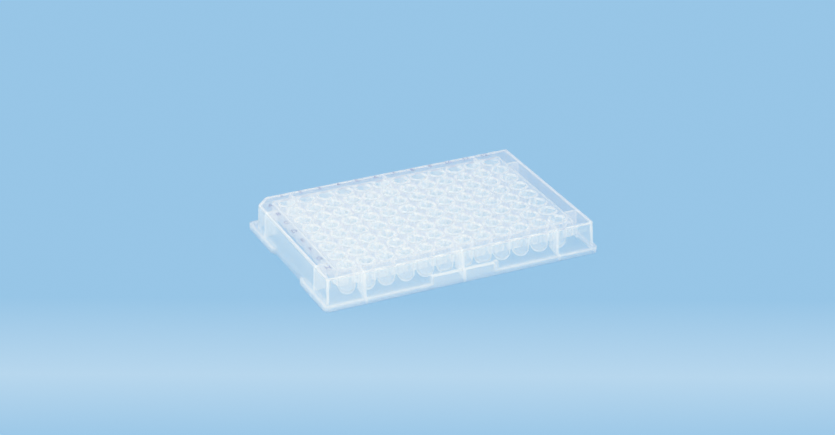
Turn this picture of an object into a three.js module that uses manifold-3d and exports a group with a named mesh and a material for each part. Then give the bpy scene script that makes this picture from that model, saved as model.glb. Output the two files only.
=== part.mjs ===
// A 96-well micro test plate with round-bottomed wells, injection moulded in one shot of clear
// polystyrene. Millimetres, +Z up, origin at the centre of the resting plane.
// +X runs from column 1 to column 12, +Y from row H to row A.

import * as THREE from 'three';
import { mergeVertices } from 'three/addons/utils/BufferGeometryUtils.js';
import Module from 'manifold-3d';

const wasm = await Module();
wasm.setup();

// ---------------------------------------------------------------- driving dimensions

// Well grid: the plate is built outwards from it.
const columns = 12;
const rows = 8;
const wellPitch = 9;
const endMargin = 14.38; // centre of column 1 to the left edge of the foot
const sideMargin = 11.24; // centre of row A to the back edge of the foot

// Heights above the resting plane.
const plateHeight = 14.5; // tops of the well rims
const rimHeight = 0.3; // the rims stand this far above the deck
const footHeight = 2.8; // ledge around the foot
const raisedFootHeight = 6.6; // ledge along the middle of the two long sides
const wellGroundClearance = 0.7; // under the lowest point of each well

// Moulded walls.
const shellWall = 1.2; // outer wall and foot
const deckThickness = 1.3;
const wellFloor = 1.0; // thickness at the lowest point of a well
const wellWall = 0.6; // around the bore at a well's round bottom
const skirtWall = 1.0;
const ribThickness = 1.0;

// Outer shell.
const footWidth = 1.45; // the foot steps out this far beyond the wall
const endDraft = 0.5; // each end wall leans in this far from bottom to top
const sideDraft = 0.85; // each long wall leans in this far
const footCornerRadius = 2.2;
const wallCornerRadius = 0.7;
const leastCornerRadius = 0.3;
const keyChamfer = 5.8; // cut corner of the wall beside well A1
const footGap = 27; // break in the foot in the middle of each end, measured at the wall
const footGapFlare = 2.6; // the foot tapers away over this length beside the break
const raisedFootLength = 31.2;

// Wells.
const landWidth = 2.04; // between two neighbouring well mouths
const wellGap = 0.14; // between the outsides of two neighbouring wells at the deck
const boreTaper = 0.28; // the bore's radius shrinks this much down to its round bottom
const rimWidth = 0.62;

// Skirt and ribs under the deck.
const skirtDepth = 5.7; // below the underside of the deck
const skirtEndOffset = 6; // centre of the last column to the outside of the skirt
const skirtSideOffset = 4.5; // centre of the last row to the outside of the skirt
const skirtCornerRadius = 1.5;
const ribPitches = 1; // ribs stand in the gap this many pitches in from the outermost wells
const ribReach = 3; // side ribs run on this far inside the skirt
const ribLift = 0.7; // lower edge of every rib inside the foot, above the resting plane
const ribTipRise = 2.6; // a side rib's lower edge rises this much on its way in
const endRibLift = 2.6; // lower edge of an end rib between the skirt and the wall

// Facets.
const wellSides = 8;
const domeSteps = 2;
const cornerSteps = 3;

// Tools reach this far past the faces that they cut.
const cutMargin = 1;

// ---------------------------------------------------------------- derived dimensions

const gridX = (columns - 1) * wellPitch / 2;
const gridY = (rows - 1) * wellPitch / 2;
const halfLength = gridX + endMargin;
const halfWidth = gridY + sideMargin;
const deckTop = plateHeight - rimHeight;
const deckUnderside = deckTop - deckThickness;
const mouthRadius = (wellPitch - landWidth) / 2;
const boreRadius = mouthRadius - boreTaper;
const wellOuterRadius = boreRadius + wellWall;
const wellShoulderRadius = (wellPitch - wellGap) / 2;
const skirtX = gridX + skirtEndOffset;
const skirtY = gridY + skirtSideOffset;
const skirtBottom = deckUnderside - skirtDepth;

// Everything that hangs from the deck is joined to it at the middle of its thickness.
const rootHeight = deckTop - deckThickness / 2;

// A faceted circle of this many sides encloses less than a true one of the same radius.
// Radii of revolved wells are raised by this factor, so that their volumes stay true.
const facetStep = 2 * Math.PI / wellSides;
const facetFactor = Math.sqrt(facetStep / Math.sin(facetStep));

// ---------------------------------------------------------------- solids from geometry

function solidOf(geometry) {
  const bare = geometry.index ? geometry.toNonIndexed() : geometry.clone();
  bare.deleteAttribute('normal');
  bare.deleteAttribute('uv');
  const merged = mergeVertices(bare, 1e-5);
  return new wasm.Manifold(new wasm.Mesh({
    numProp: 3,
    vertProperties: new Float32Array(merged.attributes.position.array),
    triVerts: new Uint32Array(merged.index.array),
  }));
}

function geometryOf(solid) {
  const mesh = solid.getMesh();
  const geometry = new THREE.BufferGeometry();
  geometry.setAttribute('position', new THREE.BufferAttribute(mesh.vertProperties, 3));
  geometry.setIndex(new THREE.BufferAttribute(mesh.triVerts, 1));
  geometry.computeVertexNormals();
  return geometry;
}

function prism(shape, bottom, top) {
  const geometry = new THREE.ExtrudeGeometry(shape, {
    depth: top - bottom,
    bevelEnabled: false,
    curveSegments: cornerSteps,
  });
  return geometry.translate(0, 0, bottom);
}

// Leans the sides of a prism inwards, from nothing at the resting plane to the full draft
// at the tops of the rims.
function drafted(geometry) {
  const position = geometry.attributes.position;
  for (let i = 0; i < position.count; i += 1) {
    const rise = position.getZ(i) / plateHeight;
    const x = position.getX(i);
    const y = position.getY(i);
    position.setX(i, x - Math.sign(x) * endDraft * rise);
    position.setY(i, y - Math.sign(y) * sideDraft * rise);
  }
  return geometry;
}

// ---------------------------------------------------------------- outlines

// Rounded rectangle, anticlockwise from the lower right. keyed cuts off its upper left corner.
function roundedRectangle(halfX, halfY, radius, keyed = 0) {
  const shape = new THREE.Shape();
  shape.absarc(halfX - radius, -halfY + radius, radius, -Math.PI / 2, 0);
  shape.absarc(halfX - radius, halfY - radius, radius, 0, Math.PI / 2);
  if (keyed > 0) {
    shape.lineTo(-halfX + keyed, halfY);
    shape.lineTo(-halfX, halfY - keyed);
  } else {
    shape.absarc(-halfX + radius, halfY - radius, radius, Math.PI / 2, Math.PI);
  }
  shape.absarc(-halfX + radius, -halfY + radius, radius, Math.PI, Math.PI * 1.5);
  shape.closePath();
  return shape;
}

// A corner moved in by inset loses that much radius, down to the smallest a mould is cut with.
function innerRadius(radius, inset) {
  return Math.max(radius - inset, leastCornerRadius);
}

// The wall's outline, moved in by inset. The cut corner keeps the same wall as the sides.
function wallOutline(inset) {
  const step = footWidth + inset;
  const chamfer = keyChamfer - inset * (2 - Math.SQRT2);
  const radius = innerRadius(wallCornerRadius, inset);
  return roundedRectangle(halfLength - step, halfWidth - step, radius, chamfer);
}

// The foot's outline, moved in by inset, without its breaks.
function footOutline(inset) {
  const radius = innerRadius(footCornerRadius, inset);
  return roundedRectangle(halfLength - inset, halfWidth - inset, radius);
}

function rectangle(x0, x1, y0, y1) {
  const shape = new THREE.Shape();
  shape.moveTo(x0, y0);
  shape.lineTo(x1, y0);
  shape.lineTo(x1, y1);
  shape.lineTo(x0, y1);
  shape.closePath();
  return shape;
}

// ---------------------------------------------------------------- outer shell

// The break in the foot at the right-hand end: as wide as the gap at the wall, and wider
// outwards, because the foot tapers away beside it.
function footBreak(inset) {
  const floor = halfLength - footWidth - inset;
  const reach = halfLength + cutMargin;
  const half = footGap / 2 + inset;
  const flared = half + (reach - floor) * footGapFlare / footWidth;
  const shape = new THREE.Shape();
  shape.moveTo(floor, -half);
  shape.lineTo(reach, -flared);
  shape.lineTo(reach, flared);
  shape.lineTo(floor, half);
  shape.closePath();
  return shape;
}

// The foot as a slab: the whole outline, less the break in the middle of each end.
// inset is 0 for its outside and the wall for its hollow.
function footSlab(inset, bottom, top) {
  const cutter = prism(footBreak(inset), bottom - cutMargin, top + cutMargin);
  return solidOf(prism(footOutline(inset), bottom, top))
    .subtract(solidOf(cutter))
    .subtract(solidOf(cutter.clone().rotateZ(Math.PI)));
}

// The taller stretch of the foot in the middle of both long sides, as one bar across the plate.
function raisedFoot(inset, bottom, top) {
  const halfX = raisedFootLength / 2 - inset;
  const halfY = halfWidth - inset;
  return solidOf(prism(rectangle(-halfX, halfX, -halfY, halfY), bottom, top));
}

function shellBody() {
  return solidOf(drafted(prism(wallOutline(0), 0, deckTop)))
    .add(footSlab(0, 0, footHeight))
    .add(raisedFoot(0, 0, raisedFootHeight));
}

// The hollow follows the outside at one wall thickness, so the foot is a step in the wall.
function shellHollow() {
  return solidOf(drafted(prism(wallOutline(shellWall), -cutMargin, deckUnderside)))
    .add(footSlab(shellWall, -cutMargin, footHeight - shellWall))
    .add(raisedFoot(shellWall, -cutMargin, raisedFootHeight - shellWall));
}

// ---------------------------------------------------------------- skirt and ribs

// Downstand around the block of wells.
function skirt() {
  const outline = roundedRectangle(skirtX, skirtY, skirtCornerRadius);
  const inner = roundedRectangle(skirtX - skirtWall, skirtY - skirtWall,
    skirtCornerRadius - skirtWall);
  outline.holes.push(inner);
  return solidOf(prism(outline, skirtBottom, rootHeight));
}

// A rib standing on the +X axis, drawn from its side: distance from the middle, height.
function ribPlate(points) {
  const outline = new THREE.Shape(points.map(([out, up]) => new THREE.Vector2(out, up)));
  const plate = new THREE.ExtrudeGeometry(outline, { depth: ribThickness, bevelEnabled: false });
  return plate.translate(0, 0, -ribThickness / 2).rotateX(Math.PI / 2);
}

// A rib at x = 0 on the front or back side. Its lower edge slopes up to its tip.
function sideRib(side) {
  const tip = skirtY - ribReach;
  const plate = ribPlate([
    [tip, ribLift + ribTipRise],
    [halfWidth, ribLift],
    [halfWidth, rootHeight],
    [tip, rootHeight],
  ]);
  return plate.rotateZ(side * Math.PI / 2);
}

// A rib at y = 0 on one end. Its lower edge is level, and steps down inside the foot.
function endRib(side) {
  const start = skirtX - skirtWall / 2;
  const wall = halfLength - footWidth - shellWall;
  const plate = ribPlate([
    [start, endRibLift],
    [wall, endRibLift],
    [wall, ribLift],
    [halfLength, ribLift],
    [halfLength, rootHeight],
    [start, rootHeight],
  ]);
  return side > 0 ? plate : plate.rotateZ(Math.PI);
}

// Gaps between columns that carry a rib: the outermost one at each end and the middle one.
function ribPlacesX() {
  const outermost = gridX - (ribPitches - 0.5) * wellPitch;
  const middle = columns % 2 === 0 ? 0 : wellPitch / 2;
  return [-outermost, middle, outermost];
}

// Gaps between rows that carry a rib: the outermost one at each side.
function ribPlacesY() {
  const outermost = gridY - (ribPitches - 0.5) * wellPitch;
  return [-outermost, outermost];
}

// All ribs, trimmed to the outside of the shell.
function ribs(body) {
  const plates = [];
  for (const side of [-1, 1]) {
    for (const x of ribPlacesX()) plates.push(sideRib(side).translate(x, 0, 0));
    for (const y of ribPlacesY()) plates.push(endRib(side).translate(0, y, 0));
  }
  return plates.map(solidOf).reduce((all, plate) => all.add(plate)).intersect(body);
}

// ---------------------------------------------------------------- wells

// Half section of a round-ended plug on the axis: its lowest point, the radius of its round
// end, then the points of its side. Lathe profiles hold the radius in x and the height in y.
function plugProfile(lowest, radius, side) {
  const points = [];
  for (let i = 0; i <= domeSteps; i += 1) {
    const angle = i / domeSteps * Math.PI / 2;
    const across = radius * facetFactor * Math.sin(angle);
    points.push(new THREE.Vector2(across, lowest + radius * (1 - Math.cos(angle))));
  }
  for (const [r, z] of side) points.push(new THREE.Vector2(r * facetFactor, z));
  points.push(new THREE.Vector2(0, side[side.length - 1][1]));
  return points;
}

// Revolves a profile about Z, with a flat facing each neighbour.
function revolved(profile) {
  const geometry = new THREE.LatheGeometry(profile, wellSides);
  return geometry.rotateX(Math.PI / 2).rotateZ(facetStep / 2);
}

// The outside of one well, below the deck. It widens upwards more than the bore does, until
// it all but meets its neighbours.
function wellTube() {
  const side = [[wellShoulderRadius, rootHeight]];
  return revolved(plugProfile(wellGroundClearance, wellOuterRadius, side));
}

// The low bevelled collar around one well's mouth.
function wellRim() {
  const base = (mouthRadius + rimWidth) * facetFactor;
  const profile = [
    new THREE.Vector2(0, rootHeight),
    new THREE.Vector2(base, rootHeight),
    new THREE.Vector2(base, deckTop),
    new THREE.Vector2(mouthRadius * facetFactor, plateHeight),
    new THREE.Vector2(0, plateHeight),
  ];
  return revolved(profile);
}

// The space inside one well, run on past its mouth.
function wellBore() {
  const lowest = wellGroundClearance + wellFloor;
  const above = [mouthRadius, plateHeight + cutMargin];
  return revolved(plugProfile(lowest, boreRadius, [[mouthRadius, plateHeight], above]));
}

function wellCentres() {
  const centres = [];
  for (let row = 0; row < rows; row += 1) {
    for (let column = 0; column < columns; column += 1) {
      centres.push([column * wellPitch - gridX, gridY - row * wellPitch]);
    }
  }
  return centres;
}

// One copy of a well feature at every centre, joined into one solid.
function atEveryWell(geometry) {
  return wellCentres()
    .map(([x, y]) => solidOf(geometry.clone().translate(x, y, 0)))
    .reduce((all, one) => all.add(one));
}

// ---------------------------------------------------------------- the plate

function wellPlate() {
  const body = shellBody();
  return body.subtract(shellHollow())
    .add(skirt())
    .add(ribs(body))
    .add(atEveryWell(wellTube()))
    .add(atEveryWell(wellRim()))
    .subtract(atEveryWell(wellBore()));
}

const clearPolystyrene = new THREE.MeshStandardMaterial({
  color: 0xdcebf4,
  roughness: 0.12,
  metalness: 0,
  transparent: true,
  opacity: 0.55,
});

const plate = new THREE.Mesh(geometryOf(wellPlate()), clearPolystyrene);
plate.name = 'well_plate';

const group = new THREE.Group();
group.add(plate);

export default group;
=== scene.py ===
"""Looks of a clear 96-well micro test plate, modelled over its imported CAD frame.

Every length is in metres in the frame of the CAD: the origin is the centre of the resting
plane, +X runs from column 1 to column 12, +Y from row H to row A, and +Z up.
"""

import logging
import math
from collections.abc import Callable, Sequence
from dataclasses import dataclass
from enum import Enum

import bmesh
import bpy
from mathutils import Matrix, Vector

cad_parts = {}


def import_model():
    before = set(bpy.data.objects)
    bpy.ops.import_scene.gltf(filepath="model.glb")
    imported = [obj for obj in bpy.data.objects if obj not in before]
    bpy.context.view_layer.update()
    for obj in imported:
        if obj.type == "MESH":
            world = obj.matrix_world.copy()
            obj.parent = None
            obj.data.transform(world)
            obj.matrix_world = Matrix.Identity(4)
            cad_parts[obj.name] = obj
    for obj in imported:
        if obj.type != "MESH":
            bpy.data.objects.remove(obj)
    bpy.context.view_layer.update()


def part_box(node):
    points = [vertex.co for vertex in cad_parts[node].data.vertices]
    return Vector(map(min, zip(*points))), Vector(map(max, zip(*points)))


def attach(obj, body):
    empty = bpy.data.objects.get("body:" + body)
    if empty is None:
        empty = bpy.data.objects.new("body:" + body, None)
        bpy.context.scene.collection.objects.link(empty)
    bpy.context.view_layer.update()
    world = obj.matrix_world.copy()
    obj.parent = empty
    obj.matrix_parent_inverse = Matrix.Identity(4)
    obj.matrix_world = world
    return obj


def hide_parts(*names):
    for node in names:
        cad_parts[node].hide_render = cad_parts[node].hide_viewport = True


LOG = logging.getLogger("well_plate")

MM = 0.001
CAD_NODE = "well_plate"
BODY = "root"
RIM_HEIGHT = 0.14 * MM  # of the well rims above the deck; higher ones catch too much light
OVERRUN = 1.0 * MM  # how far a solid that cuts runs on past what it cuts
SAME_PLACE = 0.001 * MM  # heights and vertices that are nearer than this count as one
UPRIGHT_SHARE = 0.9  # least share of an upright edge's length that goes up Z
SHARP = math.radians(25)  # least angle between the faces beside a sharp edge
NORMAL_WEIGHT = 100  # large faces decide how the narrow ones beside them are shaded
BOUNCES = 128  # a view through the plate crosses many dozens of clear faces
DIFFUSE_BOUNCES = 32  # the marks and the sweep need fewer

Object = bpy.types.Object
Point = tuple[float, float]
Pair = tuple[float, float]
Triple = tuple[float, float, float]
Socket = bpy.types.NodeSocket


class Pick(Enum):
    """The kind of mesh element that an edit works on."""

    VERTICES = "VERT"
    EDGES = "EDGE"
    FACES = "FACE"


class Join(Enum):
    """How one closed solid is combined with another."""

    ADD = "UNION"
    CUT = "DIFFERENCE"
    TRIM = "INTERSECT"


class Plane(Enum):
    """The plane that an outline is drawn in, before it is pushed into a prism."""

    LEVEL = "outline in X and Y, pushed up Z"
    UPRIGHT = "outline in X and Z, pushed along Y"


# ---------------------- modelling by operators


def deselect_all() -> None:
    """Leaves object mode's selection empty."""
    bpy.ops.object.select_all(action="DESELECT")


def make_active(obj: Object) -> None:
    """Makes one object the only selected and the active one.

    Args:
        obj: The object that the next operator works on.
    """
    deselect_all()
    obj.select_set(True)
    bpy.context.view_layer.objects.active = obj


def named_active(name: str) -> Object:
    """Names the object that an operator has just added.

    Args:
        name: Its new name, which its mesh takes too.

    Returns:
        The active object.
    """
    obj = bpy.context.object
    obj.name = name
    obj.data.name = name
    return obj


def begin_edit(obj: Object, kind: Pick, wanted: Callable[..., bool]) -> None:
    """Goes into edit mode with only the wanted elements selected.

    Args:
        obj: A mesh object.
        kind: Vertices, edges or faces.
        wanted: Says of one bmesh element whether it is wanted.
    """
    make_active(obj)
    bpy.ops.object.mode_set(mode="EDIT")
    bpy.ops.mesh.select_mode(type=kind.value)
    bpy.ops.mesh.select_all(action="DESELECT")
    mesh = bmesh.from_edit_mesh(obj.data)
    elements = {Pick.VERTICES: mesh.verts, Pick.EDGES: mesh.edges, Pick.FACES: mesh.faces}[kind]
    for element in elements:
        if wanted(element):
            element.select_set(True)
    bmesh.update_edit_mesh(obj.data)


def end_edit() -> None:
    """Goes back to object mode."""
    bpy.ops.object.mode_set(mode="OBJECT")


def block(name: str, low: Sequence[float], high: Sequence[float]) -> Object:
    """Adds a cuboid between two corners.

    Args:
        name: The object's name.
        low: Its lowest corner, in metres.
        high: Its highest corner, in metres.

    Returns:
        The cuboid, with its place in its mesh.
    """
    deselect_all()
    bpy.ops.mesh.primitive_cube_add(
        size=1,
        location=[(a + b) / 2 for a, b in zip(low, high)],
        scale=[b - a for a, b in zip(low, high)],
    )
    obj = named_active(name)
    bpy.ops.object.transform_apply(location=True, rotation=True, scale=True)
    return obj


def is_upright(edge: bmesh.types.BMEdge) -> bool:
    """Says whether an edge runs mostly up Z."""
    run = edge.verts[1].co - edge.verts[0].co
    return abs(run.z) > UPRIGHT_SHARE * run.length


def is_rim_at(height: float) -> Callable[[bmesh.types.BMEdge], bool]:
    """Makes a test for the sharp edges that lie level at one height.

    Args:
        height: Z of the edges, in metres.

    Returns:
        The test, for begin_edit.
    """

    def test(edge: bmesh.types.BMEdge) -> bool:
        """Says whether both ends are at the height and the faces beside it meet at an angle."""
        level = all(abs(vertex.co.z - height) < SAME_PLACE for vertex in edge.verts)
        return level and edge.calc_face_angle(0.0) > SHARP

    return test


def round_edges(
    obj: Object, wanted: Callable[[bmesh.types.BMEdge], bool], radius: float, segments: int
) -> None:
    """Bevels chosen edges into rounds.

    Args:
        obj: A closed mesh object.
        wanted: Says of one edge whether it is rounded.
        radius: Radius of the round, in metres.
        segments: Facets across the round.
    """
    begin_edit(obj, Pick.EDGES, wanted)
    bpy.ops.mesh.bevel(offset=radius, segments=segments, profile=0.5, affect="EDGES")
    end_edit()


def lean_sides(obj: Object, top: float, inset: Pair) -> None:
    """Gives a block's sides a mould's draft by shrinking its top face.

    Args:
        obj: A block centred on Z.
        top: Height of its top face, in metres.
        inset: How far the top moves in, along X and along Y, in metres.
    """
    begin_edit(obj, Pick.FACES, lambda face: abs(face.calc_center_median().z - top) < SAME_PLACE)
    half = [max(abs(v.co[i]) for v in obj.data.vertices) for i in (0, 1)]
    scale = [(h - step) / h for h, step in zip(half, inset)]
    bpy.ops.transform.resize(value=(scale[0], scale[1], 1), center_override=(0, 0, top))
    end_edit()


def slice_off(obj: Object, spot: Sequence[float], normal: Sequence[float]) -> None:
    """Cuts away what lies beyond a plane and closes the cut.

    Args:
        obj: A closed mesh object.
        spot: A point on the plane, in metres.
        normal: Points to the side that goes.
    """
    begin_edit(obj, Pick.FACES, lambda face: True)
    bpy.ops.mesh.bisect(plane_co=spot, plane_no=normal, use_fill=True, clear_outer=True)
    end_edit()


def single_vertex(name: str, spot: Sequence[float]) -> Object:
    """Adds a mesh of one vertex and stays in edit mode with it selected.

    Args:
        name: The object's name.
        spot: Where the vertex stands, in metres.

    Returns:
        The object, in edit mode.
    """
    deselect_all()
    bpy.ops.mesh.primitive_plane_add(size=MM)
    obj = named_active(name)
    bpy.ops.object.mode_set(mode="EDIT")
    bpy.ops.mesh.select_mode(type=Pick.VERTICES.value)
    bpy.ops.mesh.select_all(action="SELECT")
    bpy.ops.mesh.merge(type="CENTER")
    bpy.ops.transform.translate(value=spot)
    return obj


def draw_chain(points: Sequence[Vector]) -> None:
    """Extrudes the selected vertex through a chain of points.

    Args:
        points: The chain, beginning where the vertex stands, in metres.
    """
    for here, there in zip(points, points[1:]):
        bpy.ops.mesh.extrude_vertices_move(TRANSFORM_OT_translate={"value": there - here})


def revolve(name: str, profile: Sequence[Point], steps: int) -> Object:
    """Spins a half section about Z into a closed solid.

    Args:
        name: The object's name.
        profile: Radius and height of each point, pole to pole, in metres.
        steps: Facets round the axis.

    Returns:
        The solid, with its faces pointing out.
    """
    points = [Vector((radius, 0, height)) for radius, height in profile]
    obj = single_vertex(name, points[0])
    draw_chain(points)
    bpy.ops.mesh.select_all(action="SELECT")
    bpy.ops.mesh.spin(steps=steps, angle=math.tau, center=(0, 0, 0), axis=(0, 0, 1))
    close_and_face_out()
    return obj


def close_and_face_out() -> None:
    """Merges doubled vertices, turns the faces outwards, and leaves edit mode."""
    bpy.ops.mesh.select_all(action="SELECT")
    bpy.ops.mesh.remove_doubles(threshold=SAME_PLACE)
    bpy.ops.mesh.normals_make_consistent(inside=False)
    end_edit()


def clean_up(solid: Object) -> None:
    """Merges the vertices that joins and cuts have left less than a micrometre apart.

    Args:
        solid: The solid, which is closed before and after.
    """
    begin_edit(solid, Pick.VERTICES, lambda vertex: True)
    close_and_face_out()


def prism(name: str, plane: Plane, outline: Sequence[Point], low: float, high: float) -> Object:
    """Draws an outline and pushes it into a prism.

    Args:
        name: The object's name.
        plane: The plane that the outline is drawn in.
        outline: Its corners in order, in metres.
        low: Where the prism starts along the plane's normal.
        high: Where it ends.

    Returns:
        The prism, with its faces pointing out.
    """
    if plane is Plane.LEVEL:
        points = [Vector((a, b, low)) for a, b in outline]
        push = Vector((0, 0, high - low))
    else:
        points = [Vector((a, low, b)) for a, b in outline]
        push = Vector((0, high - low, 0))
    obj = single_vertex(name, points[0])
    draw_chain(points)
    bpy.ops.mesh.select_all(action="SELECT")
    bpy.ops.mesh.edge_face_add()
    bpy.ops.mesh.extrude_region_move(TRANSFORM_OT_translate={"value": push})
    close_and_face_out()
    return obj


def place(obj: Object, offset: Sequence[float], turn: float = 0.0) -> Object:
    """Turns an object about Z, then moves it, and puts both into its mesh.

    Args:
        obj: The object.
        offset: How far it moves, in metres.
        turn: Angle about Z, in radians.

    Returns:
        The same object.
    """
    make_active(obj)
    obj.rotation_euler = (0, 0, turn)
    obj.location = offset
    bpy.ops.object.transform_apply(location=True, rotation=True, scale=True)
    return obj


def copy_of(obj: Object) -> Object:
    """Duplicates an object together with its mesh.

    Args:
        obj: The object, which stays as it is.

    Returns:
        The copy.
    """
    make_active(obj)
    bpy.ops.object.duplicate(linked=False)
    return bpy.context.object


def joined(objects: Sequence[Object]) -> Object:
    """Joins objects into the first of them.

    Args:
        objects: At least one mesh object.

    Returns:
        The first object.
    """
    deselect_all()
    for obj in objects:
        obj.select_set(True)
    bpy.context.view_layer.objects.active = objects[0]
    bpy.ops.object.join()
    return objects[0]


def combine(solid: Object, tool: Object, how: Join) -> None:
    """Adds a second solid to a first, cuts it away, or keeps what they share.

    Args:
        solid: The solid that is changed.
        tool: The other solid, which is used up.
        how: Which of the three.
    """
    make_active(solid)
    modifier = solid.modifiers.new(how.name.lower(), "BOOLEAN")
    modifier.operation = how.value
    modifier.solver = "MANIFOLD"
    modifier.object = tool
    bpy.ops.object.modifier_apply(modifier=modifier.name)
    bpy.data.objects.remove(tool)


def in_rows(obj: Object, counts: tuple[int, int], pitch: float) -> None:
    """Repeats an object in a square grid, centred on Z.

    Args:
        obj: The object, standing on Z.
        counts: How many along X and along Y.
        pitch: Spacing both ways, in metres.
    """
    make_active(obj)
    for count, step in zip(counts, ((pitch, 0, 0), (0, pitch, 0))):
        modifier = obj.modifiers.new("rows", "ARRAY")
        modifier.count = count
        modifier.use_relative_offset = False
        modifier.use_constant_offset = True
        modifier.constant_offset_displace = step
        bpy.ops.object.modifier_apply(modifier=modifier.name)
    place(obj, (-(counts[0] - 1) * pitch / 2, -(counts[1] - 1) * pitch / 2, 0))


# ---------------------- materials


def linear(colour: str) -> tuple[float, float, float, float]:
    """Turns an sRGB hex colour into linear light.

    Args:
        colour: Six hex digits after a hash sign.

    Returns:
        Red, green, blue and an alpha of 1.
    """
    values = [int(colour[i : i + 2], 16) / 255 for i in (1, 3, 5)]
    red, green, blue = (
        v / 12.92 if v <= 0.04045 else ((v + 0.055) / 1.055) ** 2.4 for v in values
    )
    return red, green, blue, 1.0


def add_node(
    tree: bpy.types.NodeTree,
    kind: str,
    settings: dict[str, object] | None = None,
    values: dict[str | int, object] | None = None,
    links: dict[str | int, Socket] | None = None,
) -> bpy.types.Node:
    """Adds one node with its settings and its links.

    Args:
        tree: The node tree that it goes into.
        kind: The node's type name.
        settings: Properties of the node itself.
        values: Input sockets that are given a constant.
        links: Input sockets that are fed by another node's output.

    Returns:
        The node.
    """
    node = tree.nodes.new(kind)
    for name, value in (settings or {}).items():
        setattr(node, name, value)
    for name, value in (values or {}).items():
        node.inputs[name].default_value = value
    for name, socket in (links or {}).items():
        tree.links.new(socket, node.inputs[name])
    return node


def fill_ramp(ramp: bpy.types.Node, stops: Sequence[tuple[float, tuple]]) -> None:
    """Sets a colour ramp's stops.

    Args:
        ramp: A colour ramp node.
        stops: Place from 0 to 1 and linear colour of each stop, in order.
    """
    elements = ramp.color_ramp.elements
    while len(elements) > 1:
        elements.remove(elements[-1])
    elements[0].position, elements[0].color = stops[0]
    for position, colour in stops[1:]:
        elements.new(position).color = colour


def blank_material(name: str) -> bpy.types.Material:
    """Makes a material with an empty node tree.

    Args:
        name: The material's name.

    Returns:
        The material.
    """
    material = bpy.data.materials.new(name)
    material.use_nodes = True
    material.node_tree.nodes.clear()
    return material


@dataclass(frozen=True)
class PaintedLightZones:
    """Painted light: the places where the moulding is made hazier than its height and length
    alone make it, so that they read brighter.

    A zone's own number says how much is added: at 0.9 the haze is 1.9 times as strong. The
    places are those of one quarter of the plate, and hold for all four.
    """

    ribs: float = 3.5  # painted light: the ribs read as bright lines, as if gathering light
    half_rib: float = 0.6 * MM  # a little more than half of their thickness
    rib_top: float = 13.2 * MM
    side_rib_lines: Pair = (0.0, 45 * MM)
    side_rib_start: float = 36.6 * MM
    end_rib_line: float = 27 * MM
    end_rib_start: float = 56.2 * MM
    foot: float = 0.9  # painted light: the foot and its ledges read bright, as if catching the overhead light
    foot_start: Point = (62.4 * MM, 41.3 * MM)
    land: float = 1.8  # painted light: the deck among the wells, made hazier so that the well block reads whiter
    land_half: Point = (54.5 * MM, 36.2 * MM)
    land_bottom: float = 12.8 * MM
    beyond: Triple = (65 * MM, 45 * MM, 15 * MM)  # a corner past the plate's own

    def boxes(self) -> list[tuple[float, Triple, Triple]]:
        """Lists the zones as boxes.

        Returns:
            How much each zone adds, its lowest corner and its highest corner.
        """
        end, side, up = self.beyond
        (foot_x, foot_y), (land_x, land_y) = self.foot_start, self.land_half
        boxes = [
            (self.land, (0.0, 0.0, self.land_bottom), (land_x, land_y, up)),
            (self.foot, (foot_x, 0.0, 0.0), self.beyond),
            (self.foot, (0.0, foot_y, 0.0), (foot_x, side, up)),
        ]
        near, far = self.end_rib_line - self.half_rib, self.end_rib_line + self.half_rib
        boxes.append((self.ribs, (self.end_rib_start, near, 0.0), (end, far, self.rib_top)))
        for line in self.side_rib_lines:
            low = (line - self.half_rib, self.side_rib_start, 0.0)
            boxes.append((self.ribs, low, (line + self.half_rib, side, self.rib_top)))
        return boxes

    def strength(self, tree: bpy.types.NodeTree, where: Socket) -> Socket:
        """Adds the nodes that add the zones up.

        Args:
            tree: The material's node tree.
            where: Place on the part.

        Returns:
            How many times as strong the haze is, which is 1 outside every zone.
        """
        quarter = add_node(
            tree, "ShaderNodeVectorMath", {"operation": "ABSOLUTE"}, links={0: where}
        )
        parts = add_node(
            tree, "ShaderNodeSeparateXYZ", links={"Vector": quarter.outputs["Vector"]}
        )
        total = add_node(tree, "ShaderNodeValue").outputs["Value"]
        total.default_value = 1.0
        for added, low, high in self.boxes():
            share = add_node(tree, "ShaderNodeValue").outputs["Value"]
            share.default_value = added
            for distance, start, end in zip(parts.outputs, low, high):
                within = add_node(
                    tree,
                    "ShaderNodeMath",
                    {"operation": "COMPARE"},
                    values={1: (start + end) / 2, 2: (end - start) / 2},
                    links={0: distance},
                ).outputs["Value"]
                share = add_node(
                    tree, "ShaderNodeMath", {"operation": "MULTIPLY"}, links={0: share, 1: within}
                ).outputs["Value"]
            total = add_node(
                tree, "ShaderNodeMath", {"operation": "ADD"}, links={0: total, 1: share}
            ).outputs["Value"]
        return total


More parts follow.
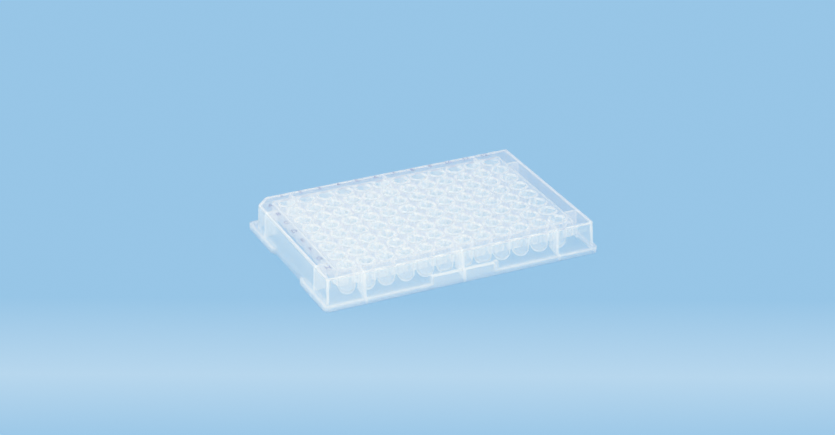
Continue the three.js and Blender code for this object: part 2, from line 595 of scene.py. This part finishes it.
@dataclass(frozen=True)
class MouldedPolystyrene:
    """General-purpose polystyrene, injection moulded against a polished mould.

    It is clear and glossy with a high index, so edges and ribs gather light from all round and
    shine white. A faint haze in it turns a stack of well walls milky, while a single outer
    wall still shows what is behind it. Where the haze thickens with height, along the plate and
    in zones, that is painted light, which makes those places read brighter.
    """

    name: str = "injection_moulded_clear_polystyrene"
    colour: str = "#FFFFFF"
    index: float = 1.59
    gloss: Pair = (0.05, 0.11)  # roughness, which drifts between the two
    flow: float = 14 * MM  # length of the flow marks that the melt leaves
    flow_detail: float = 3.0
    flow_range: Pair = (0.3, 0.7)  # nearly all of the marks' noise lies between the two
    grain: float = 0.9 * MM  # spacing of the waviness that hand polishing leaves in a mould
    wave: float = 0.004 * MM  # height of that waviness
    haze: float = 600.0  # scattering per metre at the resting plane
    painted_light_haze_by_height: tuple[Pair, ...] = (
        (0.0, 1.0),
        (6.0 * MM, 0.55),
        (12.7 * MM, 0.52),
        (13.0 * MM, 0.16),
    )  # the share of it at each height, painted light: the tubes, walls and foot below the deck are far hazier, so they read bright like the light that their curved faces catch, while the deck stays clear
    painted_lit_end_haze: float = 1.15  # painted light: the haze thins out from the column 1 end, so that end, nearer the key light from the left, reads brighter
    painted_shaded_end_haze: float = 0.55
    length: float = 128 * MM  # of the stretch that it thins out over
    zones: PaintedLightZones = PaintedLightZones()

    def surface(self, tree: bpy.types.NodeTree, where: Socket) -> Socket:
        """Adds the polished skin, whose gloss drifts along the flow marks.

        Args:
            tree: The material's node tree.
            where: Place on the part.

        Returns:
            The skin's shader.
        """
        flow = add_node(
            tree,
            "ShaderNodeTexNoise",
            values={"Scale": 1 / self.flow, "Detail": self.flow_detail},
            links={"Vector": where},
        )
        gloss = add_node(
            tree,
            "ShaderNodeMapRange",
            values={
                "From Min": self.flow_range[0],
                "From Max": self.flow_range[1],
                "To Min": self.gloss[0],
                "To Max": self.gloss[1],
            },
            links={"Value": flow.outputs["Fac"]},
        )
        polish = add_node(
            tree, "ShaderNodeTexNoise", values={"Scale": 1 / self.grain}, links={"Vector": where}
        )
        bump = add_node(
            tree,
            "ShaderNodeBump",
            values={"Distance": self.wave},
            links={"Height": polish.outputs["Fac"]},
        )
        shader = add_node(
            tree,
            "ShaderNodeBsdfPrincipled",
            values={
                "Base Color": linear(self.colour),
                "Transmission Weight": 1.0,
                "IOR": self.index,
            },
            links={"Roughness": gloss.outputs["Result"], "Normal": bump.outputs["Normal"]},
        )
        return shader.outputs["BSDF"]

    def inside(self, tree: bpy.types.NodeTree, where: Socket) -> Socket:
        """Adds the haze, whose changes with the height, along the plate and in the zones are
        painted light.

        Args:
            tree: The material's node tree.
            where: Place on the part.

        Returns:
            The haze's shader.
        """
        tallest = self.painted_light_haze_by_height[-1][0]
        parts = add_node(tree, "ShaderNodeSeparateXYZ", links={"Vector": where})
        height = add_node(
            tree,
            "ShaderNodeMapRange",
            values={"From Max": tallest},
            links={"Value": parts.outputs["Z"]},
        )
        # painted light: more haze below the deck, so the tubes and walls read brighter
        share = add_node(tree, "ShaderNodeValToRGB", links={"Fac": height.outputs["Result"]})
        fill_ramp(share, [(z / tallest, (h, h, h, 1.0)) for z, h in self.painted_light_haze_by_height])
        # painted light: hazier, and so brighter, towards the column 1 end, which faces the key
        # light from the left
        along = add_node(
            tree,
            "ShaderNodeMapRange",
            values={
                "From Min": -self.length / 2,
                "From Max": self.length / 2,
                "To Min": self.painted_lit_end_haze * self.haze,
                "To Max": self.painted_shaded_end_haze * self.haze,
            },
            links={"Value": parts.outputs["X"]},
        )
        density = share.outputs["Color"]
        # painted light: the height share, the thinning along the plate and the brighter zones
        for factor in (along.outputs["Result"], self.zones.strength(tree, where)):
            density = add_node(
                tree, "ShaderNodeMath", {"operation": "MULTIPLY"}, links={0: density, 1: factor}
            ).outputs["Value"]
        haze = add_node(
            tree,
            "ShaderNodeVolumeScatter",
            values={"Color": linear(self.colour)},
            links={"Density": density},
        )
        return haze.outputs["Volume"]

    def make(self) -> bpy.types.Material:
        """Builds the material.

        Returns:
            The material.
        """
        material = blank_material(self.name)
        tree = material.node_tree
        where = add_node(tree, "ShaderNodeTexCoord").outputs["Object"]
        add_node(
            tree,
            "ShaderNodeOutputMaterial",
            links={"Surface": self.surface(tree, where), "Volume": self.inside(tree, where)},
        )
        return material


@dataclass(frozen=True)
class EtchedPolystyrene:
    """Polystyrene moulded against spark-etched lettering.

    The etched steel leaves the raised marks matt, so they read as frosted signs that are a
    little darker than the glossy deck round them.
    """

    name: str = "etched_mould_polystyrene_lettering"
    tint: str = "#B9C6E6"
    tint_deep: str = "#A9B9DE"
    tint_range: Pair = (0.4, 0.6)  # where the pits' noise goes from the deep tint to the other
    clear: float = 0.35
    index: float = 1.59
    roughness: float = 0.55
    grit: float = 0.25 * MM  # spark pits are finer, and drawn this coarse so that they show
    pit_depth: float = 0.02 * MM
    relief: float = 0.4  # share of that depth that the light meets

    def make(self) -> bpy.types.Material:
        """Builds the material.

        Returns:
            The material.
        """
        material = blank_material(self.name)
        tree = material.node_tree
        where = add_node(tree, "ShaderNodeTexCoord").outputs["Object"]
        pits = add_node(
            tree, "ShaderNodeTexNoise", values={"Scale": 1 / self.grit}, links={"Vector": where}
        )
        colour = add_node(tree, "ShaderNodeValToRGB", links={"Fac": pits.outputs["Fac"]})
        tints = (linear(self.tint_deep), linear(self.tint))
        fill_ramp(colour, list(zip(self.tint_range, tints)))
        bump = add_node(
            tree,
            "ShaderNodeBump",
            values={"Strength": self.relief, "Distance": self.pit_depth},
            links={"Height": pits.outputs["Fac"]},
        )
        shader = add_node(
            tree,
            "ShaderNodeBsdfPrincipled",
            values={
                "Transmission Weight": self.clear,
                "IOR": self.index,
                "Roughness": self.roughness,
            },
            links={"Base Color": colour.outputs["Color"], "Normal": bump.outputs["Normal"]},
        )
        add_node(tree, "ShaderNodeOutputMaterial", links={"Surface": shader.outputs["BSDF"]})
        return material


# ---------------------- the plate


@dataclass
class Grid:
    """Where the wells stand."""

    columns: int = 12
    rows: int = 8
    pitch: float = 9.0 * MM

    @property
    def reach(self) -> Point:
        """Centre of the outermost wells, along X and along Y."""
        return (self.columns - 1) * self.pitch / 2, (self.rows - 1) * self.pitch / 2

    def column_places(self) -> list[float]:
        """X of each column, from column 1."""
        return [i * self.pitch - self.reach[0] for i in range(self.columns)]

    def row_places(self) -> list[float]:
        """Y of each row, from row A."""
        return [self.reach[1] - i * self.pitch for i in range(self.rows)]


@dataclass
class Shell:
    """The deck and its side walls on their stepped foot, moulded hollow from below."""

    half_length: float
    half_width: float
    deck_top: float
    wall: float = 1.2 * MM
    deck: float = 1.3 * MM
    foot_width: float = 1.45 * MM
    foot_height: float = 2.8 * MM
    raised_height: float = 6.6 * MM
    raised_half_length: float = 15.6 * MM
    end_draft: float = 0.49 * MM  # how far an end wall leans in on its way up
    side_draft: float = 0.832 * MM
    cut_corner: float = 5.8 * MM  # length that it takes off each wall
    foot_corner: float = 2.2 * MM
    foot_corner_facets: int = 5
    wall_corner: float = 0.7 * MM
    wall_corner_facets: int = 3
    least_corner: float = 0.3 * MM  # one wall in, a corner is never sharper than this
    gap_half: float = 13.5 * MM  # half of the foot's break, at the wall
    gap_flare: float = 2.6 * MM  # how much further it reaches at the foot's outer face
    gap_reach: Pair = (-5 * MM, 10 * MM)  # heights that the break's cut spans
    edge: float = 0.3 * MM
    edge_facets: int = 3
    ledge_edge: float = 0.24 * MM
    ledge_edge_facets: int = 2

    def outside(self) -> Object:
        """Models the whole outside as one closed solid.

        Returns:
            The walls, deck and foot, not yet hollow.
        """
        body = self.walls(0.0, 0.0, self.deck_top)
        combine(body, self.foot(0.0, 0.0, self.foot_height), Join.ADD)
        combine(body, self.raised_foot(0.0, 0.0, self.raised_height), Join.ADD)
        return body

    def hollow(self) -> Object:
        """Models the space under the deck, one wall in from the outside.

        Returns:
            The space as a closed solid, run on past the resting plane.
        """
        below = -2 * OVERRUN
        space = self.walls(self.wall, below, self.deck_top - self.deck)
        combine(space, self.foot(self.wall, below, self.foot_height - self.wall), Join.ADD)
        top = self.raised_height - self.wall
        combine(space, self.raised_foot(self.wall, below, top), Join.ADD)
        return space

    def walls(self, inset: float, bottom: float, top: float) -> Object:
        """Models the leaning walls with their cut corner.

        Args:
            inset: How far in from the outside, in metres.
            bottom: Height of the lower face.
            top: Height of the upper face.

        Returns:
            A closed solid with rounded upright and upper edges.
        """
        below = -bottom / self.deck_top  # how much lower they start, as a share of their height
        half_x = self.half_length - self.foot_width - inset + self.end_draft * below
        half_y = self.half_width - self.foot_width - inset + self.side_draft * below
        body = block("walls", (-half_x, -half_y, bottom), (half_x, half_y, top))
        share = (top - bottom) / self.deck_top
        lean_sides(body, top, (self.end_draft * share, self.side_draft * share))
        chamfer = self.cut_corner - inset * (2 - math.sqrt(2))  # keeps the wall even there too
        corner = (-half_x + chamfer, half_y, bottom)
        slice_off(body, corner, (-1, 1, (self.end_draft + self.side_draft) / self.deck_top))
        radius = max(self.wall_corner - inset, self.least_corner)
        round_edges(body, is_upright, radius, self.wall_corner_facets)
        round_edges(body, is_rim_at(top), self.edge, self.edge_facets)
        return body

    def foot(self, inset: float, bottom: float, top: float) -> Object:
        """Models the low foot, broken in the middle of each end.

        Args:
            inset: How far in from the outside, in metres.
            bottom: Height of the lower face.
            top: Height of the ledge.

        Returns:
            A closed slab.
        """
        half_x = self.half_length - inset
        half_y = self.half_width - inset
        slab = block("foot", (-half_x, -half_y, bottom), (half_x, half_y, top))
        radius = max(self.foot_corner - inset, self.least_corner)
        round_edges(slab, is_upright, radius, self.foot_corner_facets)
        round_edges(slab, is_rim_at(top), self.ledge_edge, self.ledge_edge_facets)
        for turn in (0.0, math.pi):
            combine(slab, place(self.foot_break(inset), (0, 0, 0), turn), Join.CUT)
        return slab

    def foot_break(self, inset: float) -> Object:
        """Models what is cut from the foot at the right-hand end.

        Args:
            inset: How far in from the outside the foot lies.

        Returns:
            A prism, wider outwards because the foot's end beside the break runs aslant.
        """
        wall = self.half_length - self.foot_width - inset
        out = self.half_length + OVERRUN
        half = self.gap_half + inset
        flared = half + (out - wall) * self.gap_flare / self.foot_width
        outline = [(wall, -half), (out, -flared), (out, flared), (wall, half)]
        return prism("foot_break", Plane.LEVEL, outline, *self.gap_reach)

    def raised_foot(self, inset: float, bottom: float, top: float) -> Object:
        """Models the taller stretch in the middle of both long sides, as one bar.

        Args:
            inset: How far in from the outside, in metres.
            bottom: Height of the lower face.
            top: Height of the ledge.

        Returns:
            A closed bar with rounded edges.
        """
        half_x = self.raised_half_length - inset
        half_y = self.half_width - inset
        bar = block("raised_foot", (-half_x, -half_y, bottom), (half_x, half_y, top))
        round_edges(bar, is_upright, self.edge, self.ledge_edge_facets)
        round_edges(bar, is_rim_at(top), self.ledge_edge, self.ledge_edge_facets)
        return bar


@dataclass
class Underside:
    """The skirt round the block of wells, and the ribs that tie it to the walls."""

    grid: Grid
    shell: Shell
    skirt_half: Point = (55.5 * MM, 36.0 * MM)
    skirt_wall: float = 1.0 * MM
    skirt_bottom: float = 7.2 * MM
    skirt_corner: float = 1.5 * MM
    outer_corner_facets: int = 4
    inner_corner_facets: int = 3
    skirt_edge: float = 0.25 * MM
    skirt_edge_facets: int = 2
    rib: float = 1.0 * MM
    rib_lift: float = 0.7 * MM
    rib_rise: float = 2.6 * MM  # how far a side rib's lower edge rises on its way in
    rib_tip: float = 33.0 * MM
    end_rib_lift: float = 2.6 * MM

    @property
    def root(self) -> float:
        """Height inside the deck where everything that hangs from it is joined."""
        return self.shell.deck_top - self.shell.deck / 2

    def skirt(self) -> Object:
        """Models the skirt.

        Returns:
            A closed ring that reaches up into the deck.
        """
        (x, y), thick = self.skirt_half, self.skirt_wall
        ring = block("skirt", (-x, -y, self.skirt_bottom), (x, y, self.root))
        round_edges(ring, is_upright, self.skirt_corner, self.outer_corner_facets)
        round_edges(
            ring, is_rim_at(self.skirt_bottom), self.skirt_edge, self.skirt_edge_facets
        )
        low = (-x + thick, -y + thick, self.skirt_bottom - OVERRUN)
        space = block("skirt_space", low, (x - thick, y - thick, self.root + OVERRUN))
        round_edges(space, is_upright, self.skirt_corner - thick, self.inner_corner_facets)
        combine(ring, space, Join.CUT)
        return ring

    def side_rib(self) -> Object:
        """Models the rib of one long side.

        Returns:
            A prism that runs out along +X, to be turned to the back or the front.
        """
        out = self.shell.half_width
        outline = [
            (self.rib_tip, self.rib_lift + self.rib_rise),
            (out, self.rib_lift),
            (out, self.root),
            (self.rib_tip, self.root),
        ]
        return prism("side_rib", Plane.UPRIGHT, outline, -self.rib / 2, self.rib / 2)

    def end_rib(self) -> Object:
        """Models the rib of the right-hand end, which steps down inside the foot.

        Returns:
            A prism that runs out along +X.
        """
        start = self.skirt_half[0] - self.skirt_wall / 2
        wall = self.shell.half_length - self.shell.foot_width - self.shell.wall
        out = self.shell.half_length
        outline = [
            (start, self.end_rib_lift),
            (wall, self.end_rib_lift),
            (wall, self.rib_lift),
            (out, self.rib_lift),
            (out, self.root),
            (start, self.root),
        ]
        return prism("end_rib", Plane.UPRIGHT, outline, -self.rib / 2, self.rib / 2)

    def ribs(self) -> Object:
        """Models all ten ribs.

        Returns:
            The ribs as one object, still running out past the walls.
        """
        across = self.grid.reach[0] - self.grid.pitch / 2
        along = self.grid.reach[1] - self.grid.pitch / 2
        ribs = []
        for side in (-1, 1):
            for x in (-across, 0.0, across):
                ribs.append(place(self.side_rib(), (x, 0, 0), side * math.pi / 2))
            for y in (-along, along):
                ribs.append(place(self.end_rib(), (0, y, 0), (1 - side) * math.pi / 2))
        return joined(ribs)


@dataclass
class Well:
    """One round-bottomed well with its raised rim.

    The points of the rim's round are shares of its bevel inwards and of its height upwards.
    The points of the lip's round are shares of the lip outwards and downwards.
    """

    top: float
    deck_top: float
    root: float
    clearance: float = 0.7 * MM
    floor: float = 1.0 * MM
    wall: float = 0.6 * MM
    mouth: float = 3.48 * MM
    bore: float = 3.2 * MM
    shoulder: float = 4.43 * MM  # outside radius at the deck, just short of the neighbours
    rim: float = 0.3 * MM  # how far the raised rim reaches out past the mouth
    rim_round: tuple[Pair, ...] = ((0.12, 0.55), (0.45, 0.88))
    lip: float = 0.03 * MM
    lip_round: tuple[Pair, ...] = ((0.0, 2.0), (0.3, 0.7), (1.0, 0.0))
    sides: int = 32
    dome_steps: int = 6

    def dome(self, lowest: float, radius: float) -> list[Point]:
        """Lists the half section of a hemisphere, from its pole up to its equator.

        Args:
            lowest: Height of the pole.
            radius: Radius of the hemisphere.

        Returns:
            Radius and height of each point.
        """
        points = []
        for i in range(self.dome_steps + 1):
            angle = i / self.dome_steps * math.pi / 2
            points.append((radius * math.sin(angle), lowest + radius * (1 - math.cos(angle))))
        return points

    def outside(self) -> Object:
        """Models the hanging tube and its rim, with the bore not yet cut.

        Returns:
            A closed solid on Z, which widens from the floor up to the deck.
        """
        base = self.mouth + self.rim
        bevel = self.rim / 2
        tall = self.top - self.deck_top
        tube = self.dome(self.clearance, self.bore + self.wall)
        tube += [(self.shoulder, self.root), (base, self.root), (base, self.deck_top)]
        tube += [(base - bevel * a, self.deck_top + tall * b) for a, b in self.rim_round]
        tube += [(base - bevel, self.top), (0.0, self.top)]
        return revolve("well_outside", tube, self.sides)

    def inside(self) -> Object:
        """Models the space in the well, flared into its lip.

        Returns:
            A closed solid on Z, run on past the mouth.
        """
        space = self.dome(self.clearance + self.floor, self.bore)
        space += [(self.mouth + self.lip * a, self.top - self.lip * b) for a, b in self.lip_round]
        above = self.top + OVERRUN
        space += [(self.mouth + self.lip, above), (0.0, above)]
        return revolve("well_inside", space, self.sides)


@dataclass
class Plate:
    """The plate as one moulding."""

    grid: Grid
    shell: Shell
    underside: Underside
    well: Well
    finish: MouldedPolystyrene
    smooth_below: float = 32.0  # degrees

    def build(self) -> Object:
        """Models the moulding, dresses it and ties it to the frame.

        Returns:
            The finished piece.
        """
        counts = (self.grid.columns, self.grid.rows)
        moulding = self.shell.outside()
        ribs = self.underside.ribs()
        combine(ribs, copy_of(moulding), Join.TRIM)
        combine(moulding, self.shell.hollow(), Join.CUT)
        combine(moulding, self.underside.skirt(), Join.ADD)
        combine(moulding, ribs, Join.ADD)
        tubes = self.well.outside()
        in_rows(tubes, counts, self.grid.pitch)
        combine(moulding, tubes, Join.ADD)
        bores = self.well.inside()
        in_rows(bores, counts, self.grid.pitch)
        combine(moulding, bores, Join.CUT)
        clean_up(moulding)
        moulding.name = moulding.data.name = "moulded_plate"
        finish_piece(moulding, self.finish.make(), self.smooth_below)
        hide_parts(CAD_NODE)
        return moulding


def finish_piece(obj: Object, material: bpy.types.Material, smooth_below: float) -> None:
    """Shades, dresses and mounts a finished piece.

    Args:
        obj: The piece, with its place in its mesh.
        material: Its only material.
        smooth_below: Edges flatter than this many degrees are shaded smooth.
    """
    make_active(obj)
    obj.data.materials.clear()
    obj.data.materials.append(material)
    bpy.ops.object.shade_smooth_by_angle(angle=math.radians(smooth_below))
    modifier = obj.modifiers.new("even_shading", "WEIGHTED_NORMAL")
    modifier.keep_sharp = True
    modifier.weight = NORMAL_WEIGHT
    bpy.ops.object.modifier_apply(modifier=modifier.name)
    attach(obj, BODY)
    triangles = sum(len(face.vertices) - 2 for face in obj.data.polygons)
    LOG.info("%s: %d triangles", obj.name, triangles)


@dataclass
class Signs:
    """The raised row letters and column numbers on the deck."""

    grid: Grid
    deck_top: float
    finish: EtchedPolystyrene
    height: float = 2.6 * MM  # of a capital letter
    capital_share: float = 0.7  # that height as a share of the font's size
    curve_steps: int = 3
    proud: float = 0.12 * MM
    gap: float = 0.01 * MM  # keeps the signs' undersides clear of the deck
    letter_x: float = -57.5 * MM
    number_y: float = 38.4 * MM
    smooth_below: float = 30.0  # degrees

    def sign(self, text: str, x: float, y: float) -> Object:
        """Models one raised letter or number.

        Args:
            text: What it says.
            x: Middle of the sign.
            y: Middle of the sign.

        Returns:
            The sign as a mesh with its place in it.
        """
        deselect_all()
        bpy.ops.object.text_add()
        obj = named_active("sign_" + text)
        obj.data.body = text
        obj.data.align_x = "CENTER"
        obj.data.align_y = "CENTER"
        obj.data.size = self.height / self.capital_share
        obj.data.extrude = self.proud / 2
        obj.data.resolution_u = self.curve_steps
        make_active(obj)
        bpy.ops.object.convert(target="MESH")
        middle = self.deck_top + self.proud / 2 + self.gap
        return place(bpy.context.object, (x, y, middle))

    def build(self) -> list[Object]:
        """Models both sets of signs.

        Returns:
            The row letters and the column numbers, one piece each.
        """
        letters = [
            self.sign("ABCDEFGH"[i], self.letter_x, y)
            for i, y in enumerate(self.grid.row_places())
        ]
        numbers = [
            self.sign(str(i + 1), x, self.number_y)
            for i, x in enumerate(self.grid.column_places())
        ]
        material = self.finish.make()
        pieces = []
        for name, signs in (("row_letters", letters), ("column_numbers", numbers)):
            piece = joined(signs)
            piece.name = piece.data.name = name
            finish_piece(piece, material, self.smooth_below)
            pieces.append(piece)
        return pieces


# ---------------------- the studio


@dataclass
class Studio:
    """A pale blue sweep with a painted band of light, under a large soft white light, and the
    camera.
    """

    azimuth: float = -25.42  # degrees, like the next two
    elevation: float = 26.69
    roll: float = 0.24
    distance: float = 996.1 * MM
    aim: Triple = (1.69 * MM, 7.73 * MM, 7.0 * MM)  # a point that the camera looks at
    lens: float = 98.54  # in millimetres, like the sensor
    sensor: float = 36.0
    clip: Pair = (0.01, 50.0)
    paper: str = "#96C4E6"
    # painted light: the floor's colour at the peak of the band
    paper_painted_light: str = "#B5D5ED"
    paper_size: float = 12.0
    painted_light_band: Triple = (53 * MM, 115.5 * MM, 168 * MM)  # near, peak and end of a painted band of light across the floor
    paper_glow: float = 0.9  # share of the sweep's look that no shadow reaches
    key: Triple = (-0.45, -0.55, 0.70)
    key_spread: Pair = (-0.3, 0.2)  # cosines off the key where its white begins and is full
    key_strength: float = 1.36
    key_colour: str = "#FFF9EA"
    far: str = "#A6B8DC"

    def back(self) -> Vector:
        """Works out the direction from the plate to the camera.

        Returns:
            A direction of length 1.
        """
        turn, rise = math.radians(self.azimuth), math.radians(self.elevation)
        return Vector(
            (math.sin(turn) * math.cos(rise), -math.cos(turn) * math.cos(rise), math.sin(rise))
        )

    def add_camera(self) -> None:
        """Adds the camera and makes it the scene's."""
        back = self.back()
        right = Vector((0, 0, 1)).cross(back).normalized()
        up = back.cross(right)
        lean = math.radians(self.roll)
        leaned = [
            right * math.cos(lean) + up * math.sin(lean),
            up * math.cos(lean) - right * math.sin(lean),
            back,
        ]
        stand = Vector(self.aim) + back * self.distance
        columns = Matrix(leaned).transposed().to_4x4()
        bpy.ops.object.camera_add()
        camera = bpy.context.object
        camera.name = "camera"
        camera.matrix_world = Matrix.Translation(stand) @ columns
        camera.data.sensor_width = self.sensor
        camera.data.lens = self.lens
        camera.data.clip_start, camera.data.clip_end = self.clip
        bpy.context.scene.camera = camera

    def seen_paths(self, tree: bpy.types.NodeTree) -> Socket:
        """Adds nodes that tell the rays that show a surface from those that light one.

        Args:
            tree: The node tree that they go into.

        Returns:
            A value of 1 for camera, glossy and transmission rays.
        """
        paths = add_node(tree, "ShaderNodeLightPath").outputs
        seen = paths["Is Camera Ray"]
        for name in ("Is Glossy Ray", "Is Transmission Ray"):
            seen = add_node(
                tree, "ShaderNodeMath", {"operation": "MAXIMUM"}, links={0: seen, 1: paths[name]}
            ).outputs["Value"]
        return seen

    def painted_band_colour(self, tree: bpy.types.NodeTree) -> Socket:
        """Adds the sweep's colour: plain blue with one painted band of light across the view.

        Args:
            tree: The sweep's node tree.

        Returns:
            The colour.
        """
        near, peak, end = self.painted_light_band
        turned = add_node(
            tree,
            "ShaderNodeMapping",
            values={"Rotation": (0, 0, math.radians(-self.azimuth))},
            links={"Vector": add_node(tree, "ShaderNodeTexCoord").outputs["Object"]},
        )
        parts = add_node(
            tree, "ShaderNodeSeparateXYZ", links={"Vector": turned.outputs["Vector"]}
        )
        share = add_node(
            tree,
            "ShaderNodeMapRange",
            values={"From Min": -end, "From Max": -near},
            links={"Value": parts.outputs["Y"]},
        )
        ramp = add_node(tree, "ShaderNodeValToRGB", links={"Fac": share.outputs["Result"]})
        dim, bright = linear(self.paper), linear(self.paper_painted_light)
        fill_ramp(ramp, [(0.0, dim), ((end - peak) / (end - near), bright), (1.0, dim)])
        return ramp.outputs["Color"]

    def add_floor(self) -> None:
        """Lays the flat part of the sweep, which shows its own colour with a painted band of
        light, and a faint shadow.
        """
        deselect_all()
        bpy.ops.mesh.primitive_plane_add(size=self.paper_size)
        floor = named_active("floor")
        material = blank_material("matt_blue_paper_sweep")
        tree = material.node_tree
        colour = self.painted_band_colour(tree)
        paper = add_node(tree, "ShaderNodeBsdfDiffuse", links={"Color": colour})
        glow = add_node(tree, "ShaderNodeEmission", links={"Color": colour})
        lit = add_node(
            tree,
            "ShaderNodeMixShader",
            values={"Fac": self.paper_glow},
            links={1: paper.outputs["BSDF"], 2: glow.outputs["Emission"]},
        )
        mix = add_node(
            tree,
            "ShaderNodeMixShader",
            links={
                "Fac": self.seen_paths(tree),
                1: paper.outputs["BSDF"],
                2: lit.outputs["Shader"],
            },
        )
        add_node(tree, "ShaderNodeOutputMaterial", links={"Surface": mix.outputs["Shader"]})
        floor.data.materials.append(material)

    def add_world(self) -> None:
        """Lights the plate softly: white from the key's side, dim blue from the far side."""
        world = bpy.data.worlds.new("studio")
        bpy.context.scene.world = world
        world.use_nodes = True
        tree = world.node_tree
        tree.nodes.clear()
        toward = add_node(
            tree,
            "ShaderNodeVectorMath",
            {"operation": "DOT_PRODUCT"},
            values={1: Vector(self.key).normalized()},
            links={0: add_node(tree, "ShaderNodeTexCoord").outputs["Generated"]},
        )
        share = add_node(
            tree,
            "ShaderNodeMapRange",
            values={"From Min": self.key_spread[0], "From Max": self.key_spread[1]},
            links={"Value": toward.outputs["Value"]},
        )
        ramp = add_node(tree, "ShaderNodeValToRGB", links={"Fac": share.outputs["Result"]})
        white = [self.key_strength * part for part in linear(self.key_colour)[:3]] + [1.0]
        fill_ramp(ramp, [(0.0, linear(self.far)), (1.0, white)])
        light = add_node(tree, "ShaderNodeBackground", links={"Color": ramp.outputs["Color"]})
        add_node(tree, "ShaderNodeOutputWorld", links={"Surface": light.outputs["Background"]})

    def set_scene(self) -> None:
        """Sets the view transform and lets light through many clear walls."""
        scene = bpy.context.scene
        scene.view_settings.view_transform = "Standard"
        scene.cycles.max_bounces = BOUNCES
        scene.cycles.transmission_bounces = BOUNCES
        scene.cycles.glossy_bounces = BOUNCES
        scene.cycles.volume_bounces = BOUNCES
        scene.cycles.diffuse_bounces = DIFFUSE_BOUNCES
        scene.cycles.blur_glossy = 0.0  # keeps the fine glints sharp

    def build(self) -> None:
        """Builds the whole studio."""
        self.add_camera()
        self.add_floor()
        self.add_world()
        self.set_scene()


def main() -> None:
    """Loads the frame, builds the plate, its signs and the studio, and reports each piece."""
    logging.basicConfig(level=logging.INFO, format="%(name)s: %(message)s")
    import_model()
    half_length, half_width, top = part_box(CAD_NODE)[1]
    deck_top = top - RIM_HEIGHT
    Studio().build()
    grid = Grid()
    shell = Shell(half_length, half_width, deck_top)
    underside = Underside(grid, shell)
    well = Well(top, deck_top, underside.root)
    plate = Plate(grid, shell, underside, well, MouldedPolystyrene())
    pieces = [plate.build(), *Signs(grid, deck_top, EtchedPolystyrene()).build()]
    LOG.info("pieces: %s", ", ".join(piece.name for piece in pieces))


if __name__ == "__main__":
    main()
